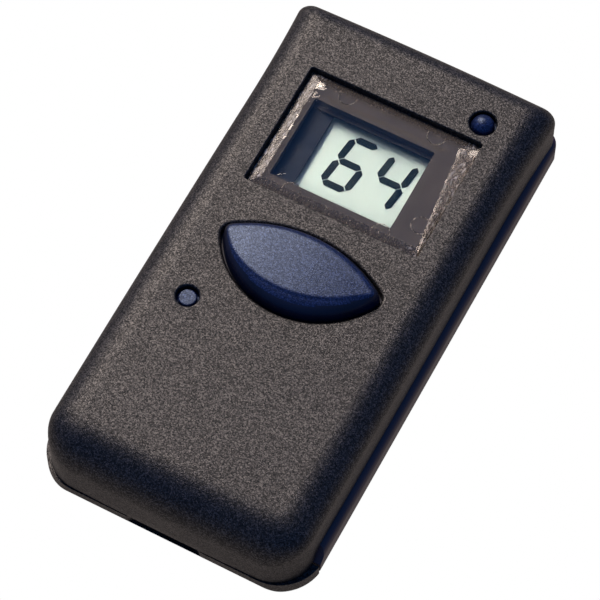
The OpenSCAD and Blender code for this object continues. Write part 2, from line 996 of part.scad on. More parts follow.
front_shell();
back_shell();
battery_door();
window_lens();
display_mask();
display_frame();
lcd_polariser();
lcd_front_glass();
lcd_seal();
lcd_bars();
lcd_rear_glass();
lcd_reflector();
contact_strips();
circuit_board();
chip_cap();
crystal();
ceramic_capacitors();
storage_capacitor();
resistors();
piezo_disc();
piezo_ceramic();
lead_wires();
main_button();
reset_button();
mode_button();
main_dome();
reset_dome();
mode_dome();
cell_cans();
cell_sleeves();
contact_plus();
contact_minus();
contact_bridge();
case_screws();
board_screws();
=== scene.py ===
"""Looks of the pocket game timer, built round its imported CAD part. Meshes are worked out in millimetres."""

import math

import bmesh
import bpy
import numpy as np
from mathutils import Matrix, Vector
from mathutils.geometry import delaunay_2d_cdt

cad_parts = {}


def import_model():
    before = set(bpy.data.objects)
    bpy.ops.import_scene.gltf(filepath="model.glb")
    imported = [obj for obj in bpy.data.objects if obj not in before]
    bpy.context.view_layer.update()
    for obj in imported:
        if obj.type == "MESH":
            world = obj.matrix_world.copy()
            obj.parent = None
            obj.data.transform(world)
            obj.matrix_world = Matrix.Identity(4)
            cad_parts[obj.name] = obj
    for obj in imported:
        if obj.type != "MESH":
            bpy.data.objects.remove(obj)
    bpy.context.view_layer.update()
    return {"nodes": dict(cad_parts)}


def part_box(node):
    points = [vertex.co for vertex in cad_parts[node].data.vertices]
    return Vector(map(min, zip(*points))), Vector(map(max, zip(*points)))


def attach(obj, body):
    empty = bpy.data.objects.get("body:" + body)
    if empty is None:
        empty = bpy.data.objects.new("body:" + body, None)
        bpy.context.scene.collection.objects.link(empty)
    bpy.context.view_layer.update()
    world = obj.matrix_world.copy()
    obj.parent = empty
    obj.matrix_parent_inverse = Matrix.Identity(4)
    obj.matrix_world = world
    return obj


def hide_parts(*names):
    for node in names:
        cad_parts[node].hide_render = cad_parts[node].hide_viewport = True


MM = 0.001

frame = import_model()


def box_mm(node):
    """Lowest and highest corner of a CAD node, in millimetres."""
    low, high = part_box(node)
    return np.array(low) / MM, np.array(high) / MM


# Case: its size and its end's seam come from the frame
SHELL_LOW, SHELL_HIGH = box_mm("front_shell")
HALF_W, HALF_L, FACE_Z = SHELL_HIGH
END_SEAM_Z = SHELL_LOW[2]
SIDE_SEAM_Z = 6.0
# Where along the case the seam climbs from the battery end's height to the sides'
SEAM_STEP_Y = (-43.2, -40.6)
# Rounding of the shell's lower edge, and the share of it that is left halfway round
SEAM_EASE = 0.2
SEAM_EASE_HALFWAY = 0.3
WALL = 1.6
# Height of the inner wall that is drawn above the seam
INNER_LIP = 0.6
# Corner radii in plan, at the battery end and at the display end
LOW_CORNER = 7.0
TOP_CORNER = 2.5
# How far the ends and the sides bow out
END_CROWN = 0.35
SIDE_CROWN = 0.22
# Rounding of the face's edge: how far it reaches in, then how far down
SIDE_ROUND = (5.5, 4.5)
LOW_ROUND = (7.6, 7.6)
TOP_ROUND = (4.4, 5.0)
# Share by which the sides' rounding is wider at the battery end and narrower at the display end
SIDE_TAPER = 0.14
# Share of a corner's radius that is gone where the rounding meets the face
CORNER_TIGHTEN = 0.75
# How far the sides flare out at the display end, and the share of the half length where that starts
TOP_FLARE = 0.9
FLARE_START = 0.55
# The flat face starts at this share of the roundings' reach
FACE_RIM_SHARE = 1.02

# Window
LENS_LOW, LENS_HIGH = box_mm("window_lens")
LENS_GAP = 0.2
WINDOW_W = LENS_HIGH[0] - LENS_LOW[0] + 2 * LENS_GAP
WINDOW_L = LENS_HIGH[1] - LENS_LOW[1] + 2 * LENS_GAP
WINDOW_Y = (LENS_HIGH[1] + LENS_LOW[1]) / 2
WINDOW_CORNER = 0.5
WINDOW_LIP = 0.22
LENS_FLOOR_Z = LENS_LOW[2]
LENS_TOP_Z = LENS_HIGH[2]
LEDGE_Z = box_mm("display_mask")[1][2]
# Opening under the lens: middle, size, corner radius
WELL_AT = (-1.9, 22.85)
WELL_SIZE = (23.8, 17.3)
WELL_CORNER = 0.3

# Window lens
LENS_CORNER = 0.4
# Gap between the lens's underside and the ledge
LENS_LIFT = 0.02
# Bevel from the outside in: first inset, raggedness and height over the underside,
# then inset, raggedness and drop below the top
LENS_FOOT = ((0, 0.0, 0), (0, 0.0, 0.15), (0.1, 0.03, 0.24))
LENS_SHOULDER = ((0.8, 0.06, 0.36), (1.5, 0.06, 0.06), (1.65, 0.04, 0))
# Longest stretch between two points of its outline
LENS_STEP = 0.8
# Least and greatest upward share of the normals of the faces that look cut
CUT_NORMAL_Z = (0.3, 0.98)
# Widths of the bevel's left and right sides as multiples of its ends', and what the right gains
# towards the display end
BEVEL_LEFT = 1.3
BEVEL_RIGHT = 1.25
BEVEL_RIGHT_GAIN = 0.75
# Recess in the underside: shares of the lens's size at its mouth and at its roof, then its depth
LENS_RECESS = (0.735, 0.66, 0.25)
# Rings left by moulding pins: places from the window's middle, radius, half thickness,
# height over the underside
PIN_MARKS = ((-8.8, 10.9), (8.8, 10.9), (-8.8, -10.9), (8.8, -10.9), (14.4, -6.4))
PIN_MARK_R = 1.7
PIN_MARK_HALF_THICK = 0.08
PIN_MARK_LIFT = 0.12

# Large button: upper radius, lower radius, upper edge, lower edge, tip radius of its outlines
KEY_OPENING = (26.4, 17.2, 6.1, -10.2, 2.2)
KEY_PLATEAU = (25.5, 18.8, 4.3, -7.0, 0.8)
# Gap between the large button and its opening, at the flange, under the face and over the face
KEY_GAPS = (0.3, 0.35, 0.6)
KEY_LIP = 0.6
KEY_TOP_Z = box_mm("main_button")[1][2]
# Heights of the skirt: foot, below the face, above the face, and where it meets the grained top
KEY_FLANGE_Z = FACE_Z - WALL - 0.2
KEY_WAIST_Z = FACE_Z - 0.9
KEY_WALL_TOP_Z = FACE_Z + 0.2
KEY_BROW_Z = KEY_TOP_Z - 0.3
# How far the skirt has turned over where it meets the grained top, in degrees
KEY_SKIRT_TURN = 62
# Edge of the grained top from the outside in: inset, then drop below the top
KEY_EDGE = ((0.12, 0.2), (0.28, 0.13), (0.5, 0.09), (0.75, 0.07))
# The top's drop at its tips, how far out they lie, and the height from which the drop grows
KEY_CROWN = 0.55
KEY_CROWN_REACH = 14
KEY_CROWN_FROM_Z = FACE_Z + 1
# Slope of the grained top's lower edge, reached this far below the button's middle
KEY_SLANT = 0.06
KEY_SLANT_REACH = 3
# Everything below this height is smooth, and painted darker than the grained top as shade on the skirt
KEY_GRAIN_AND_SHADE_FROM_Z = KEY_TOP_Z - KEY_CROWN - 0.35

# Small buttons
RESET_AT = (-14.5, -14.3)
RESET_HOLE_R = 2.05
RESET_LIP = 0.35
MODE_AT = (15.1, 40.2)
MODE_HOLE_R = 2.45
MODE_LIP = 0.3

# Flat ring of the face round each opening's lip
LIP_MARGIN = 0.06

# Shares of the grain's cells at which its sheen takes the given low, middle and high level
SHEEN_STOPS = (0.0, 0.6, 1.0)
# Distance from the window's middle at which the lens's cut starts to be frosted white, and is fully so; keeping
# the white to the left and right sides is painted highlight, where light catches the bevel
FROST_HIGHLIGHT_FROM_X = 12
FROST_HIGHLIGHT_X = 15.5

# Camera, with distances in millimetres
CAMERA_AZIMUTH = 27.91
CAMERA_ELEVATION = 62.59
CAMERA_DISTANCE = 560
CAMERA_AIM = (2.98, -6.03, FACE_Z)
CAMERA_LENS = 195.8

# Lamp, with distances in metres
LAMP_AZIMUTH = 229
LAMP_ELEVATION = 48
LAMP_DISTANCE = 1.5
LAMP_SIZE = 0.63
LAMP_POWER = 25.5
LAMP_COLOUR = (1.0, 0.84, 0.72)

# Room and floor
ROOM_COLOUR = (0.12, 0.36, 1.0)
ROOM_STRENGTH = 0.34
FLOOR_HALF_M = 3.0
FLOOR_Z = -0.1
BOUNCE_COLOUR = (1.0, 0.85, 0.78)
BOUNCE_STRENGTH = 0.36


# ---------------------------------------------------------------- mesh helpers


def make_object(name, points, faces, crease=35):
    """Mesh object from points in millimetres, with doubled points merged.

    It is shaded smooth across edges of up to crease degrees.
    """
    mesh = bpy.data.meshes.new(name)
    mesh.from_pydata([tuple(np.array(p) * MM) for p in points], [], [tuple(f) for f in faces])
    mesh.validate()
    obj = bpy.data.objects.new(name, mesh)
    bpy.context.scene.collection.objects.link(obj)
    weld(obj)
    for polygon in mesh.polygons:
        polygon.use_smooth = True
    mesh.set_sharp_from_angle(angle=math.radians(crease))
    return obj


def weld(obj, gap=0.001):
    """Merges points closer than gap millimetres."""
    work = bmesh.new()
    work.from_mesh(obj.data)
    bmesh.ops.remove_doubles(work, verts=work.verts, dist=gap * MM)
    bmesh.ops.dissolve_degenerate(work, edges=work.edges, dist=gap * MM)
    work.to_mesh(obj.data)
    work.free()


def join_rings(rings):
    """Points and quads that join closed rings of equal length, one after the other."""
    count = len(rings[0])
    points = np.concatenate(rings)
    faces = []
    for i in range(len(rings) - 1):
        a, b = i * count, (i + 1) * count
        for j in range(count):
            k = (j + 1) % count
            faces.append((a + j, a + k, b + k, b + j))
    return points, faces


def at_height(loop, z):
    """Plan points lifted to height z, which is one number or one per point."""
    return np.column_stack([loop, np.broadcast_to(z, len(loop))])


class Builder:
    """Collects pieces of one mesh."""

    def __init__(self):
        self.points = []
        self.faces = []

    def add(self, points, faces, flip=False):
        """Adds points and the faces between them, turned over if flip is set."""
        start = len(self.points)
        self.points.extend(np.asarray(points, float).tolist())
        for f in faces:
            f = [start + int(i) for i in f]
            self.faces.append(f[::-1] if flip else f)

    def rings(self, rings, flip=False):
        """Adds the skin that joins closed rings."""
        self.add(*join_rings(rings), flip=flip)


def cad_faces(node, keep):
    """Points (mm) and faces of a CAD node's mesh for which keep(centre) is true."""
    mesh = frame["nodes"][node].data
    points = np.array([v.co for v in mesh.vertices]) / MM
    faces = [tuple(p.vertices) for p in mesh.polygons if keep(np.array(p.center) / MM)]
    used = sorted({i for f in faces for i in f})
    place = {v: i for i, v in enumerate(used)}
    return points[used], [[place[i] for i in f] for f in faces]


# ---------------------------------------------------------------- outlines


def arc(centre, radius, start, end, count):
    """Points on an arc, angles in degrees, both ends included."""
    t = np.radians(np.linspace(start, end, count))
    return np.column_stack([centre[0] + radius * np.cos(t), centre[1] + radius * np.sin(t)])


class CaseOutline:
    """The case's outline, which can be taken in by a different amount at its sides and ends."""

    def __init__(self):
        side = np.linspace(-HALF_L + LOW_CORNER, HALF_L - TOP_CORNER, 60)
        top = np.linspace(HALF_W - TOP_CORNER, -HALF_W + TOP_CORNER, 40)
        low = np.linspace(-HALF_W + LOW_CORNER, HALF_W - LOW_CORNER, 36)
        straights = (
            ("side", 1, 0, side),
            ("end", 0, 1, top),
            ("side", -1, 0, side[::-1]),
            ("end", 0, -1, low),
        )
        # One row per point: kind, outward normal, place along a straight part
        self.rows = []
        for quarter, (kind, nx, ny, places) in enumerate(straights):
            self.rows += [(kind, nx, ny, place) for place in places]
            for t in np.radians(np.linspace(0, 90, 17)[1:-1] + 90 * quarter):
                self.rows.append(("corner", math.cos(t), math.sin(t), 0))
        self.normals = np.array([row[1:3] for row in self.rows], float)

    def loop(self, share, flare=0.0):
        """Outline taken in by a share of the roundings' reach, and let out by flare at the display end."""
        insets = (share * SIDE_ROUND[0], share * LOW_ROUND[0], share * TOP_ROUND[0])
        return self.offset(*insets, flare, 1 - CORNER_TIGHTEN * share)

    def even(self, inset, flare=0.0):
        """Outline taken in by one inset at its sides and ends."""
        return self.offset(inset, inset, inset, flare)

    def offset(self, side_in, low_in, top_in, flare=0.0, tight=1.0):
        """Outline taken in by side_in at the sides and by low_in or top_in at the ends.

        The sides' inset grows towards the battery, and the corners' radii are multiplied by tight.
        """
        low_r, top_r = LOW_CORNER * tight, TOP_CORNER * tight
        low_edge, top_edge = HALF_L - low_in, HALF_L - top_in
        out = []
        for kind, nx, ny, place in self.rows:
            if kind == "side":
                y = min(max(place, low_r - low_edge), top_edge - top_r)
                out.append((nx * (HALF_W - self.tapered(side_in, y)), y))
                continue
            r, edge = (top_r, top_edge) if ny > 0 else (low_r, low_edge)
            middle_y = math.copysign(edge - r, ny)
            middle_x = HALF_W - self.tapered(side_in, middle_y) - r
            if kind == "end":
                out.append((min(max(place, -middle_x), middle_x), ny * edge))
            else:
                out.append((math.copysign(middle_x, nx) + r * nx, middle_y + r * ny))
        out = np.array(out)
        across, along = out[:, 0] / HALF_W, out[:, 1] / HALF_L
        flared = np.clip((along - FLARE_START) / (1 - FLARE_START), 0, 1) ** 2
        out[:, 1] *= 1 - END_CROWN / HALF_L * across**2
        out[:, 0] *= 1 + (flare * flared + SIDE_CROWN * (1 - along**2)) / HALF_W
        return out

    def tapered(self, side_in, y):
        """The sides' inset at y."""
        return side_in * (1 - SIDE_TAPER * y / HALF_L)

    def blend(self, side, low, top):
        """One value per point, eased between the sides' and the ends' over each corner."""
        share = self.normals[:, 1] ** 2
        end = np.where(self.normals[:, 1] > 0, top, low)
        return side + (end - side) * share


def rounded_rectangle(centre, w, l, r, corner=6):
    """Rectangle with rounded corners, counter-clockwise from the lower right."""
    out = []
    for sx, sy, start in ((1, -1, 270), (1, 1, 0), (-1, 1, 90), (-1, -1, 180)):
        middle = (centre[0] + sx * (w / 2 - r), centre[1] + sy * (l / 2 - r))
        out.append(arc(middle, r, start, start + 90, corner))
    return np.concatenate(out)


def densify(loop, step):
    """Adds points so that no side of a closed loop is longer than step."""
    out = []
    for a, b in zip(loop, np.roll(loop, -1, axis=0)):
        parts = max(1, int(np.ceil(np.linalg.norm(b - a) / step)))
        out.extend(a + (b - a) * i / parts for i in range(parts))
    return np.array(out)


def lens_loop(shape, inset=0, arc_points=56, tip_points=14):
    """Lens-shaped outline, taken in by inset, from its right tip."""
    upper_r, lower_r, top_y, low_y, tip_r = shape
    upper, lower = top_y - upper_r, low_y + lower_r
    a, b, span = upper_r - tip_r, lower_r - tip_r, lower - upper
    up = (a * a - b * b + span * span) / (2 * span)
    tip_x, tip_y = math.sqrt(a * a - up * up), upper + up
    from_upper = math.degrees(math.atan2(tip_y - upper, tip_x))
    from_lower = math.degrees(math.atan2(tip_y - lower, tip_x))
    arcs = [
        ((tip_x, tip_y), tip_r, from_lower, from_upper, tip_points),
        ((0, upper), upper_r, from_upper, 180 - from_upper, arc_points),
        ((-tip_x, tip_y), tip_r, 180 - from_upper, 180 - from_lower, tip_points),
        ((0, lower), lower_r, 180 - from_lower, 360 + from_lower, arc_points),
    ]
    return np.concatenate([arc(c, r - inset, start, end, n + 1)[:-1] for c, r, start, end, n in arcs])


def circle_loop(centre, r, count=64):
    """Closed circle, counter-clockwise."""
    return arc(centre, r, 0, 360, count + 1)[:-1]


# ---------------------------------------------------------------- front shell


def hole_rings(outline_at, lip, depth_z):
    """Rings of an opening in the face: a rounded lip, then a straight wall down to depth_z."""
    rings = [at_height(outline_at(-lip - LIP_MARGIN), FACE_Z)]
    for t in np.radians(np.linspace(90, 0, 6)):
        rings.append(at_height(outline_at(-lip * (1 - math.cos(t))), FACE_Z - lip * (1 - math.sin(t))))
    rings.append(at_height(outline_at(0), depth_z))
    return rings


def fill_plane(outer, holes, z):
    """Triangles between an outer loop and hole loops that share one height."""
    loops = [outer] + holes
    points = np.concatenate(loops)
    edges = []
    start = 0
    for loop in loops:
        n = len(loop)
        edges += [(start + i, start + (i + 1) % n) for i in range(n)]
        start += n
    coords, _, faces, *_ = delaunay_2d_cdt([Vector(p) for p in points], edges, [], 1, 1e-6)
    coords = np.array([tuple(c) for c in coords])
    kept = []
    for f in faces:
        middle = coords[list(f)].mean(axis=0)
        if not any(inside(middle, h) for h in holes):
            kept.append(f)
    return at_height(coords, z), kept


def inside(point, loop):
    """True if point lies inside the closed loop."""
    x, y = point
    ax, ay = loop[:, 0], loop[:, 1]
    bx, by = np.roll(ax, -1), np.roll(ay, -1)
    crosses = (ay > y) != (by > y)
    with np.errstate(divide="ignore", invalid="ignore"):
        at_x = ax + (y - ay) / (by - ay) * (bx - ax)
    return bool(np.sum(crosses & (x < at_x)) % 2)


def seam_height(y):
    """Height of the front shell's lower edge, which drops at the battery end."""
    low, high = SEAM_STEP_Y
    t = np.clip((y - low) / (high - low), 0, 1)
    t = t * t * (3 - 2 * t)
    return END_SEAM_Z + (SIDE_SEAM_Z - END_SEAM_Z) * t


def window_outline(inset):
    """Outline of the window's recess, taken in by inset."""
    size = (WINDOW_W - 2 * inset, WINDOW_L - 2 * inset)
    return rounded_rectangle((0, WINDOW_Y), *size, WINDOW_CORNER - min(inset, 0))


def front_shell():
    """Outside of the front shell with its openings, joined to the CAD shell's inside."""
    outline = CaseOutline()
    depth = outline.blend(SIDE_ROUND[1], LOW_ROUND[1], TOP_ROUND[1])
    edge = outline.even(0, TOP_FLARE)
    seam = seam_height(edge[:, 1])
    wall_low, wall_top = seam + SEAM_EASE, FACE_Z - depth
    halfway = SEAM_EASE * SEAM_EASE_HALFWAY
    rings = [
        at_height(outline.even(WALL), seam + INNER_LIP),
        at_height(outline.even(WALL), seam),
        at_height(outline.even(SEAM_EASE, TOP_FLARE), seam),
        at_height(outline.even(halfway, TOP_FLARE), seam + halfway),
        at_height(edge, wall_low),
    ]
    for share in (0.3, 0.65):
        rings.append(at_height(edge, wall_low + share * (wall_top - wall_low)))
    for t in np.radians(np.linspace(0, 90, 19)):
        loop = outline.loop(1 - math.cos(t), TOP_FLARE * math.cos(t))
        rings.append(at_height(loop, FACE_Z - depth * (1 - math.sin(t))))
    rim = outline.loop(FACE_RIM_SHARE)
    rings.append(at_height(rim, FACE_Z))
    body = Builder()
    body.rings(rings)

    under_face = FACE_Z - WALL
    openings = [
        (window_outline, WINDOW_LIP, LENS_FLOOR_Z),
        (lambda inset: lens_loop(KEY_OPENING, inset), KEY_LIP, under_face),
        (lambda inset: circle_loop(RESET_AT, RESET_HOLE_R - inset), RESET_LIP, under_face),
        (lambda inset: circle_loop(MODE_AT, MODE_HOLE_R - inset), MODE_LIP, under_face),
    ]
    lips = []
    for outline_at, lip, depth_z in openings:
        rings = hole_rings(outline_at, lip, depth_z)
        lips.append(rings[0][:, :2])
        body.rings(rings)
    body.add(*fill_plane(unrepeated(rim), lips, FACE_Z))

    # Ledge under the lens and the opening in it
    floor_loop = window_outline(0)
    well = rounded_rectangle(WELL_AT, *WELL_SIZE, WELL_CORNER)
    body.rings([at_height(floor_loop, LENS_FLOOR_Z), at_height(well, LENS_FLOOR_Z), at_height(well, LEDGE_Z)])
    body.add(*cad_faces("front_shell", shell_interior))
    return make_object("front_shell_skin", body.points, body.faces)


def unrepeated(loop):
    """Loop without points that repeat the one before."""
    step = np.linalg.norm(loop - np.roll(loop, 1, axis=0), axis=1)
    return loop[step > 1e-4]


def shell_interior(centre):
    """True for the faces of the CAD front shell that only show from inside.

    The small margins take in, or leave out, faces that lie right on a limit.
    """
    x, y, z = centre
    above_ledge = within_window(x, y, 0.1) and z > LEDGE_Z + 0.02
    corner = LOW_CORNER if y < 0 else TOP_CORNER
    past_x = max(abs(x) - (HALF_W - corner), 0)
    past_y = max(abs(y) - (HALF_L - corner), 0)
    inside_walls = math.hypot(past_x, past_y) < corner - WALL + 0.1
    between_skins = END_SEAM_Z + 0.05 < z < FACE_Z - WALL + 0.05
    return inside_walls and between_skins and not above_ledge


def within_window(x, y, margin=0.0):
    """True within the window's recess, or up to margin outside it."""
    return abs(x) < WINDOW_W / 2 + margin and abs(y - WINDOW_Y) < WINDOW_L / 2 + margin


# ---------------------------------------------------------------- large button


def plateau_loop(inset):
    """Outline of the grained top, whose lower edge slants a little."""
    loop = lens_loop(KEY_PLATEAU, inset)
    loop[:, 1] += KEY_SLANT * loop[:, 0] * np.clip(-loop[:, 1] / KEY_SLANT_REACH, 0, 1)
    return loop


def crown_drop(x, z):
    """How far the crowned top of the large button lies below its flat height."""
    share = max(0.0, (z - KEY_CROWN_FROM_Z) / (KEY_TOP_Z - KEY_CROWN_FROM_Z))
    return KEY_CROWN * share * (x / KEY_CROWN_REACH) ** 2


def main_button():
    """Grained plateau inside a smooth skirt that is steep at first and turns over late."""
    foot, waist, base = (lens_loop(KEY_OPENING, gap) for gap in KEY_GAPS)
    plateau = plateau_loop(0)
    rings = [at_height(foot, KEY_FLANGE_Z), at_height(waist, KEY_WAIST_Z), at_height(base, KEY_WALL_TOP_Z)]
    last = math.radians(KEY_SKIRT_TURN)
    for t in np.linspace(0, last, 13)[1:]:
        inward = (1 - math.cos(t)) / (1 - math.cos(last))
        upward = math.sin(t) / math.sin(last)
        z = KEY_WALL_TOP_Z + (KEY_BROW_Z - KEY_WALL_TOP_Z) * upward
        rings.append(at_height(base + (plateau - base) * inward, z))
    for inset, drop in KEY_EDGE:
        rings.append(at_height(plateau_loop(inset), KEY_TOP_Z - drop))
    body = Builder()
    body.rings(rings)
    body.add(*fill_plane(rings[-1][:, :2], [], rings[-1][0, 2]))
    body.points = [(x, y, z - crown_drop(x, z)) for x, y, z in body.points]
    body.add(*cad_faces("main_button", lambda c: c[2] < KEY_FLANGE_Z + 0.05))
    return make_object("main_button_cap", body.points, body.faces)


# ---------------------------------------------------------------- window lens


def pin_mark(centre, z):
    """Fine ring left by a moulding pin."""
    rings = []
    for t in np.radians(np.arange(0, 360, 60)):
        loop = circle_loop(centre, PIN_MARK_R + PIN_MARK_HALF_THICK * math.cos(t), 40)
        rings.append(at_height(loop, z + PIN_MARK_HALF_THICK * math.sin(t)))
    return join_rings(rings + rings[:1])


def window_lens():
    """Clear lens with a roughly cut bevel and a recess in its underside."""
    w, l = LENS_HIGH[0] - LENS_LOW[0], LENS_HIGH[1] - LENS_LOW[1]
    z0, z1 = LENS_FLOOR_Z + LENS_LIFT, LENS_TOP_Z
    rng = np.random.default_rng(11)

    half = np.array([w, l]) / 2
    plan = densify(rounded_rectangle((0, 0), w, l, LENS_CORNER, 5), LENS_STEP)
    right_width = BEVEL_RIGHT + BEVEL_RIGHT_GAIN * plan[:, 1] / half[1]
    side_width = np.where(plan[:, 0] > 0, right_width, BEVEL_LEFT)
    widths = np.column_stack([side_width, np.ones(len(plan))])

    def loop(inset, ragged):
        """The lens's outline, taken in and roughened."""
        depth = inset + ragged * rng.normal(size=(len(plan), 1))
        return plan * (1 - depth * widths / half) + (0, WINDOW_Y)

    rings = [at_height(loop(inset, ragged), z0 + rise) for inset, ragged, rise in LENS_FOOT]
    rings += [at_height(loop(inset, ragged), z1 - drop) for inset, ragged, drop in LENS_SHOULDER]
    body = Builder()
    body.rings(rings)
    body.add(*fill_plane(rings[-1][:, :2], [], z1))
    mouth, roof, deep = LENS_RECESS
    steps = ((1, z0), (mouth, z0), (roof, z0 + deep))
    under = [at_height(plan * share + (0, WINDOW_Y), z) for share, z in steps]
    body.rings(under, flip=True)
    body.add(*fill_plane(under[-1][:, :2], [], z0 + deep), flip=True)
    return make_object("window_lens_clear", body.points, body.faces, crease=1)


def lens_marks():
    """The moulding pins' rings on the window lens."""
    body = Builder()
    for x, y in PIN_MARKS:
        body.add(*pin_mark((x, WINDOW_Y + y), LENS_FLOOR_Z + LENS_LIFT + PIN_MARK_LIFT))
    return make_object("window_lens_marks", body.points, body.faces, crease=90)


# ---------------------------------------------------------------- materials


class Shader:
    """A material with one Principled shader and short ways to add nodes."""

    def __init__(self, name):
        self.material = bpy.data.materials.new(name)
        self.material.use_nodes = True
        self.nodes = self.material.node_tree.nodes
        self.links = self.material.node_tree.links
        self.main = self.nodes["Principled BSDF"]
        self.output = self.nodes["Material Output"]
        self.place = self.nodes.new("ShaderNodeTexCoord").outputs["Object"]

    def set(self, **values):
        """Sets the Principled shader's sockets, with _ for a space in their names."""
        for name, value in values.items():
            self.main.inputs[name.replace("_", " ")].default_value = value

    def noise(self, size_mm, detail=2.0, roughness=0.5, stretch=None):
        """Noise with features of about size_mm."""
        place = self.place
        if stretch:
            mapping = self.nodes.new("ShaderNodeMapping")
            mapping.inputs["Scale"].default_value = stretch
            self.links.new(place, mapping.inputs["Vector"])
            place = mapping.outputs["Vector"]
        node = self.nodes.new("ShaderNodeTexNoise")
        node.inputs["Scale"].default_value = 1 / (size_mm * MM)
        node.inputs["Detail"].default_value = detail
        node.inputs["Roughness"].default_value = roughness
        self.links.new(place, node.inputs["Vector"])
        return node.outputs["Fac"]

    def cells(self, size_mm):
        """One random value for each of many small cells."""
        node = self.nodes.new("ShaderNodeTexVoronoi")
        node.inputs["Scale"].default_value = 1 / (size_mm * MM)
        self.links.new(self.place, node.inputs["Vector"])
        split = self.nodes.new("ShaderNodeSeparateColor")
        self.links.new(node.outputs["Color"], split.inputs["Color"])
        return split.outputs["Red"]

    def ramp(self, source, stops):
        """Colour that changes with source, through (position, colour) stops."""
        node = self.nodes.new("ShaderNodeValToRGB")
        elements = node.color_ramp.elements
        while len(elements) < len(stops):
            elements.new(0.5)
        for element, (position, colour) in zip(elements, stops):
            element.position = position
            element.color = (*colour, 1)
        self.links.new(source, node.inputs["Fac"])
        return node.outputs["Color"]

    def span(self, source, low, high, from_low=0.3, from_high=0.7):
        """Value that goes from low to high as source goes from from_low to from_high."""
        node = self.nodes.new("ShaderNodeMapRange")
        node.inputs["From Min"].default_value = from_low
        node.inputs["From Max"].default_value = from_high
        node.inputs["To Min"].default_value = low
        node.inputs["To Max"].default_value = high
        self.links.new(source, node.inputs["Value"])
        return node.outputs["Result"]

    def bump(self, source, depth_mm, strength=1.0, normal=None):
        """Normal tilted by source as a height, on top of another normal if one is given."""
        node = self.nodes.new("ShaderNodeBump")
        node.inputs["Distance"].default_value = depth_mm * MM
        node.inputs["Strength"].default_value = strength
        self.links.new(source, node.inputs["Height"])
        if normal is not None:
            self.links.new(normal, node.inputs["Normal"])
        return node.outputs["Normal"]

    def feed(self, socket, source):
        """Joins source to one of the Principled shader's sockets."""
        self.links.new(source, self.main.inputs[socket])

    def maths(self, operation, *sources):
        """Result of a maths node on one or two sources."""
        node = self.nodes.new("ShaderNodeMath")
        node.operation = operation
        for source, socket in zip(sources, node.inputs):
            self.links.new(source, socket)
        return node.outputs[0]


def mixed(a, b, t):
    """Colour that lies a share t of the way from a to b."""
    return tuple(x + (y - x) * t for x, y in zip(a, b))


def textured_plastic(name, dark, light, cell_mm, depth_mm, rough, sheen, tint=(1.0, 1.0, 1.0)):
    """Moulded plastic with a fine spark-eroded grain, whose small cells differ in colour and sheen."""
    s = Shader(name)
    cells = s.cells(cell_mm)
    grain = s.noise(cell_mm, 2.5, 0.6)
    broad = s.noise(9.0, 3.0, 0.55)
    s.feed("Base Color", s.ramp(cells, [(0.3, dark), (0.75, mixed(dark, light, 0.3)), (0.95, light)]))
    sheen_stops = [(stop, (level,) * 3) for stop, level in zip(SHEEN_STOPS, sheen)]
    s.feed("Specular IOR Level", s.ramp(cells, sheen_stops))
    s.feed("Roughness", s.span(broad, *rough))
    fine = s.bump(grain, depth_mm)
    s.feed("Normal", s.bump(broad, 0.05, 0.3, fine))
    s.set(Specular_Tint=(*tint, 1))
    return s.material


def satin_plastic(name, dark, light, rough, grain_mm=0.25, depth_mm=0.004, specular=0.5, metallic=0.0):
    """Smooth moulded plastic, or another plain matt solid, whose colour varies a little over the piece."""
    s = Shader(name)
    grain = s.noise(grain_mm, 2.0, 0.5)
    broad = s.noise(6.0, 2.0, 0.5)
    s.feed("Base Color", s.ramp(broad, [(0.3, dark), (0.7, light)]))
    s.feed("Roughness", s.span(broad, *rough))
    s.feed("Normal", s.bump(grain, depth_mm))
    s.set(Specular_IOR_Level=specular, Metallic=metallic)
    return s.material


def clear_plastic(name, tint, rough, ior, wave_mm, depth_mm):
    """Clear moulding with a slightly wavy surface."""
    s = Shader(name)
    s.set(Base_Color=(*tint, 1), IOR=ior, Transmission_Weight=1.0)
    s.feed("Roughness", s.span(s.noise(3.0, 3.0), *rough))
    s.feed("Normal", s.bump(s.noise(wave_mm, 2.0), depth_mm))
    lets_lamps_through(s, tint)
    return s.material


def lets_lamps_through(s, tint):
    """The lamps' shadow rays pass straight through, so that the glass doesn't darken what lies under it."""
    clear = s.nodes.new("ShaderNodeBsdfTransparent")
    clear.inputs["Color"].default_value = (*tint, 1)
    path = s.nodes.new("ShaderNodeLightPath")
    mix = s.nodes.new("ShaderNodeMixShader")
    s.links.new(path.outputs["Is Shadow Ray"], mix.inputs["Fac"])
    s.links.new(s.main.outputs["BSDF"], mix.inputs[1])
    s.links.new(clear.outputs["BSDF"], mix.inputs[2])
    s.links.new(mix.outputs["Shader"], s.output.inputs["Surface"])


def thin_glass(name, tint, cover):
    """Thin sheet that is mostly see-through, with a smooth reflecting surface."""
    s = Shader(name)
    s.set(Base_Color=(*tint, 1), Alpha=cover, Specular_IOR_Level=0.5)
    s.feed("Roughness", s.span(s.noise(4.0, 3.0), 0.04, 0.1))
    return s.material


